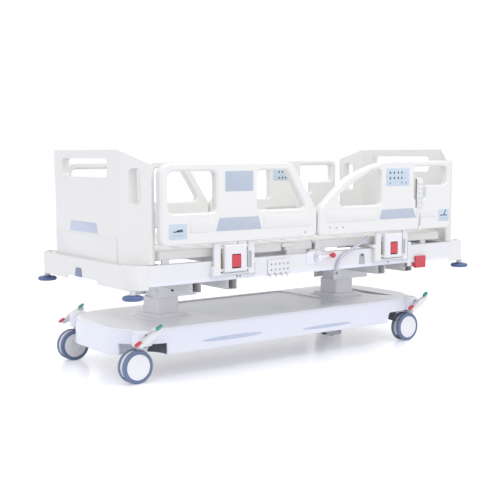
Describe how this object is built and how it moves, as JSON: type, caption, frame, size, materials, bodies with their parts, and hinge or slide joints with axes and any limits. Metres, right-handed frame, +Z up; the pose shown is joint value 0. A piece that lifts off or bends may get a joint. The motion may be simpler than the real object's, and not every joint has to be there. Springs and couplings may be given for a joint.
{
  "type": "nursing home bed",
  "caption": "Electric ward bed on lockable casters with lifting columns, hinged deck, folding side rails and removable end boards.",
  "frame": {"origin": "on the floor under the middle of the upper frame", "axes": "+X to the head end, +Y to the far side, +Z up"},
  "size_m": [2.121, 0.9853, 1.027],
  "materials": {
    "white_plastic": "smooth moulded, slight sheen",
    "base_plastic": "smooth moulded",
    "frame_paint": "powder coat",
    "column_paint": "powder coat",
    "chassis_paint": "powder coat",
    "deck_plastic": "fine texture",
    "wheel_plastic": "smooth moulded",
    "bumper_plastic": "smooth moulded",
    "pad_plastic": "smooth moulded",
    "release_red": "glossy",
    "steel": "brushed",
    "cord_rubber": "matt"
  },
  "bodies": {
    "base": {"base_chassis": "chassis_paint", "base_cover": "base_plastic", "caster_stems": "steel", "lift_column_bases": "column_paint"},
    "caster_foot_near": {"caster_housing_foot_near": "wheel_plastic"},
    "wheels_foot_near": {"caster_wheels_foot_near": "wheel_plastic"},
    "bumper_foot_near": {"bumper_foot_near": "bumper_plastic"},
    "caster_foot_far": {"caster_housing_foot_far": "wheel_plastic"},
    "wheels_foot_far": {"caster_wheels_foot_far": "wheel_plastic"},
    "bumper_foot_far": {"bumper_foot_far": "bumper_plastic"},
    "brake_foot": {"brake_bar_foot": "frame_paint", "brake_pads_foot": "pad_plastic"},
    "caster_head_near": {"caster_housing_head_near": "wheel_plastic"},
    "wheels_head_near": {"caster_wheels_head_near": "wheel_plastic"},
    "bumper_head_near": {"bumper_head_near": "bumper_plastic"},
    "caster_head_far": {"caster_housing_head_far": "wheel_plastic"},
    "wheels_head_far": {"caster_wheels_head_far": "wheel_plastic"},
    "bumper_head_far": {"bumper_head_far": "bumper_plastic"},
    "brake_head": {"brake_bar_head": "frame_paint", "brake_pads_head": "pad_plastic"},
    "brake_link": {"brake_link": "steel"},
    "fifth_arm": {"fifth_wheel_arm": "steel"},
    "fifth_wheels": {"fifth_wheel": "wheel_plastic"},
    "foot_middle": {"foot_column_middle": "column_paint"},
    "head_middle": {"head_column_middle": "column_paint"},
    "upper_frame": {"main_frame": "frame_paint", "column_heads": "column_paint", "foot_column_inner": "column_paint", "head_column_inner": "column_paint", "end_cover_foot": "white_plastic", "end_cover_head": "white_plastic", "seat_deck": "deck_plastic", "side_fittings": "steel", "rail_brackets_foot": "frame_paint", "control_box": "deck_plastic"},
    "foot_board": {"foot_board": "white_plastic"},
    "head_board": {"head_board": "white_plastic"},
    "lockout": {"lockout_lever": "release_red"},
    "carriage": {"backrest_carriage": "frame_paint"},
    "backrest": {"backrest_deck": "deck_plastic", "backrest_frame": "frame_paint"},
    "thigh": {"thigh_deck": "deck_plastic", "mattress_keepers": "steel"},
    "calf": {"calf_deck": "deck_plastic"},
    "arms_foot_near": {"rail_arms_foot_near": "frame_paint"},
    "latch_foot_near": {"rail_latch_foot_near": "release_red"},
    "rail_foot_near": {"rail_foot_near": "white_plastic"},
    "arms_foot_far": {"rail_arms_foot_far": "frame_paint"},
    "latch_foot_far": {"rail_latch_foot_far": "release_red"},
    "rail_foot_far": {"rail_foot_far": "white_plastic"},
    "arms_head_near": {"rail_arms_head_near": "frame_paint"},
    "latch_head_near": {"rail_latch_head_near": "release_red"},
    "rail_head_near": {"rail_head_near": "white_plastic", "handset": "white_plastic", "handset_cord": "cord_rubber"},
    "arms_head_far": {"rail_arms_head_far": "frame_paint"},
    "latch_head_far": {"rail_latch_head_far": "release_red"},
    "rail_head_far": {"rail_head_far": "white_plastic"},
    "cpr_near": {"cpr_handle_near": "release_red"},
    "cpr_far": {"cpr_handle_far": "release_red"}
  },
  "joints": [
    {"name": "swivel_foot_near", "type": "hinge", "parent": "base", "child": "caster_foot_near", "pos_m": [-0.906, -0.312, 0.16], "axis": [0, 0, 1], "continuous": true},
    {"name": "roll_foot_near", "type": "hinge", "parent": "caster_foot_near", "child": "wheels_foot_near", "pos_m": [-0.941, -0.312, 0.075], "axis": [0, 1, 0], "continuous": true},
    {"name": "swivel_foot_far", "type": "hinge", "parent": "base", "child": "caster_foot_far", "pos_m": [-0.906, 0.312, 0.16], "axis": [0, 0, 1], "continuous": true},
    {"name": "roll_foot_far", "type": "hinge", "parent": "caster_foot_far", "child": "wheels_foot_far", "pos_m": [-0.941, 0.312, 0.075], "axis": [0, 1, 0], "continuous": true},
    {"name": "brake_foot_turn", "type": "hinge", "parent": "base", "child": "brake_foot", "pos_m": [-0.906, 0, 0.208], "axis": [0, 1, 0], "range_deg": [0, 60]},
    {"name": "swivel_head_near", "type": "hinge", "parent": "base", "child": "caster_head_near", "pos_m": [0.756, -0.312, 0.16], "axis": [0, 0, 1], "continuous": true},
    {"name": "roll_head_near", "type": "hinge", "parent": "caster_head_near", "child": "wheels_head_near", "pos_m": [0.721, -0.312, 0.075], "axis": [0, 1, 0], "continuous": true},
    {"name": "swivel_head_far", "type": "hinge", "parent": "base", "child": "caster_head_far", "pos_m": [0.756, 0.312, 0.16], "axis": [0, 0, 1], "continuous": true},
    {"name": "roll_head_far", "type": "hinge", "parent": "caster_head_far", "child": "wheels_head_far", "pos_m": [0.721, 0.312, 0.075], "axis": [0, 1, 0], "continuous": true},
    {"name": "brake_head_turn", "type": "hinge", "parent": "base", "child": "brake_head", "pos_m": [0.756, 0, 0.208], "axis": [0, 1, 0], "range_deg": [0, 60]},
    {"name": "brake_link_turn", "type": "hinge", "parent": "brake_foot", "child": "brake_link", "pos_m": [-0.874, 0.12, 0.15257], "axis": [0, 1, 0], "range_deg": [-60, 0]},
    {"name": "fifth_arm_drop", "type": "hinge", "parent": "base", "child": "fifth_arm", "pos_m": [0.68, 0, 0.126], "axis": [0, -1, 0], "range_deg": [0, 2.4]},
    {"name": "fifth_wheel_roll", "type": "hinge", "parent": "fifth_arm", "child": "fifth_wheels", "pos_m": [0.445, 0, 0.054], "axis": [0, 1, 0], "continuous": true},
    {"name": "lift", "type": "slide", "parent": "foot_middle", "child": "upper_frame", "axis": [0, 0, 1], "range_m": [0, 0.15]},
    {"name": "foot_stage", "type": "slide", "parent": "base", "child": "foot_middle", "axis": [0, 0, 1], "range_m": [0, 0.15]},
    {"name": "head_stage", "type": "slide", "parent": "base", "child": "head_middle", "axis": [0, 0, 1], "range_m": [0, 0.15]},
    {"name": "bumper_roll_foot_near", "type": "hinge", "parent": "upper_frame", "child": "bumper_foot_near", "pos_m": [-1.0145, -0.4305, 0.39], "axis": [0, 0, 1], "continuous": true},
    {"name": "bumper_roll_foot_far", "type": "hinge", "parent": "upper_frame", "child": "bumper_foot_far", "pos_m": [-1.0145, 0.4305, 0.39], "axis": [0, 0, 1], "continuous": true},
    {"name": "foot_board_lift", "type": "slide", "parent": "upper_frame", "child": "foot_board", "axis": [0, 0, 1], "range_m": [0, 0.12]},
    {"name": "bumper_roll_head_near", "type": "hinge", "parent": "upper_frame", "child": "bumper_head_near", "pos_m": [1.0145, -0.4305, 0.39], "axis": [0, 0, 1], "continuous": true},
    {"name": "bumper_roll_head_far", "type": "hinge", "parent": "upper_frame", "child": "bumper_head_far", "pos_m": [1.0145, 0.4305, 0.39], "axis": [0, 0, 1], "continuous": true},
    {"name": "head_board_lift", "type": "slide", "parent": "upper_frame", "child": "head_board", "axis": [0, 0, 1], "range_m": [0, 0.12]},
    {"name": "lockout_turn", "type": "hinge", "parent": "upper_frame", "child": "lockout", "pos_m": [-0.016, -0.475, 0.512], "axis": [0, 1, 0], "range_deg": [0, 60]},
    {"name": "carriage_slide", "type": "slide", "parent": "upper_frame", "child": "carriage", "axis": [1, 0, 0], "range_m": [0, 0.23]},
    {"name": "backrest_hinge", "type": "hinge", "parent": "carriage", "child": "backrest", "pos_m": [0, 0, 0.58], "axis": [0, -1, 0], "range_deg": [0, 65]},
    {"name": "thigh_hinge", "type": "hinge", "parent": "upper_frame", "child": "thigh", "pos_m": [-0.205, 0, 0.58], "axis": [0, 1, 0], "range_deg": [0, 35]},
    {"name": "calf_hinge", "type": "hinge", "parent": "thigh", "child": "calf", "pos_m": [-0.52, 0, 0.557], "axis": [0, 1, 0], "range_deg": [-59.5, 0]},
    {"name": "rail_fold_foot_near", "type": "hinge", "parent": "upper_frame", "child": "arms_foot_near", "pos_m": [-0.516, -0.468, 0.472], "axis": [1, 0, 0], "range_deg": [0, 150]},
    {"name": "rail_level_foot_near", "type": "hinge", "parent": "arms_foot_near", "child": "rail_foot_near", "pos_m": [-0.516, -0.468, 0.632], "axis": [1, 0, 0], "range_deg": [-150, 0]},
    {"name": "latch_foot_near_pull", "type": "hinge", "parent": "arms_foot_near", "child": "latch_foot_near", "pos_m": [-0.516, -0.48, 0.554], "axis": [-1, 0, 0], "range_deg": [0, 20], "stiffness_Nm_per_rad": 0.6, "springref_deg": -8.59},
    {"name": "rail_fold_foot_far", "type": "hinge", "parent": "upper_frame", "child": "arms_foot_far", "pos_m": [-0.516, 0.468, 0.472], "axis": [-1, 0, 0], "range_deg": [0, 150]},
    {"name": "rail_level_foot_far", "type": "hinge", "parent": "arms_foot_far", "child": "rail_foot_far", "pos_m": [-0.516, 0.468, 0.632], "axis": [-1, 0, 0], "range_deg": [-150, 0]},
    {"name": "latch_foot_far_pull", "type": "hinge", "parent": "arms_foot_far", "child": "latch_foot_far", "pos_m": [-0.516, 0.48, 0.554], "axis": [1, 0, 0], "range_deg": [0, 20], "stiffness_Nm_per_rad": 0.6, "springref_deg": -8.59},
    {"name": "rail_fold_head_near", "type": "hinge", "parent": "backrest", "child": "arms_head_near", "pos_m": [0.462, -0.468, 0.472], "axis": [1, 0, 0], "range_deg": [0, 150]},
    {"name": "rail_level_head_near", "type": "hinge", "parent": "arms_head_near", "child": "rail_head_near", "pos_m": [0.462, -0.468, 0.632], "axis": [1, 0, 0], "range_deg": [-150, 0]},
    {"name": "latch_head_near_pull", "type": "hinge", "parent": "arms_head_near", "child": "latch_head_near", "pos_m": [0.462, -0.48, 0.554], "axis": [-1, 0, 0], "range_deg": [0, 20], "stiffness_Nm_per_rad": 0.6, "springref_deg": -8.59},
    {"name": "rail_fold_head_far", "type": "hinge", "parent": "backrest", "child": "arms_head_far", "pos_m": [0.462, 0.468, 0.472], "axis": [-1, 0, 0], "range_deg": [0, 150]},
    {"name": "rail_level_head_far", "type": "hinge", "parent": "arms_head_far", "child": "rail_head_far", "pos_m": [0.462, 0.468, 0.632], "axis": [-1, 0, 0], "range_deg": [-150, 0]},
    {"name": "latch_head_far_pull", "type": "hinge", "parent": "arms_head_far", "child": "latch_head_far", "pos_m": [0.462, 0.48, 0.554], "axis": [1, 0, 0], "range_deg": [0, 20], "stiffness_Nm_per_rad": 0.6, "springref_deg": -8.59},
    {"name": "cpr_near_pull", "type": "hinge", "parent": "upper_frame", "child": "cpr_near", "pos_m": [0.64, -0.442, 0.433], "axis": [1, 0, 0], "range_deg": [0, 45], "stiffness_Nm_per_rad": 0.8, "springref_deg": -5.73},
    {"name": "cpr_far_pull", "type": "hinge", "parent": "upper_frame", "child": "cpr_far", "pos_m": [0.64, 0.442, 0.433], "axis": [-1, 0, 0], "range_deg": [0, 45], "stiffness_Nm_per_rad": 0.8, "springref_deg": -5.73}
  ],
  "couplings": [
    {"joint": "brake_head_turn", "follows": "brake_foot_turn", "ratio": 1},
    {"joint": "brake_link_turn", "follows": "brake_foot_turn", "ratio": -1},
    {"joint": "foot_stage", "follows": "lift", "ratio": 1},
    {"joint": "head_stage", "follows": "lift", "ratio": 1},
    {"joint": "carriage_slide", "follows": "backrest_hinge", "m_per_rad": 0.2},
    {"joint": "calf_hinge", "follows": "thigh_hinge", "ratio": -1.7},
    {"joint": "rail_level_foot_near", "follows": "rail_fold_foot_near", "ratio": -1},
    {"joint": "rail_level_foot_far", "follows": "rail_fold_foot_far", "ratio": -1},
    {"joint": "rail_level_head_near", "follows": "rail_fold_head_near", "ratio": -1},
    {"joint": "rail_level_head_far", "follows": "rail_fold_head_far", "ratio": -1}
  ]
}
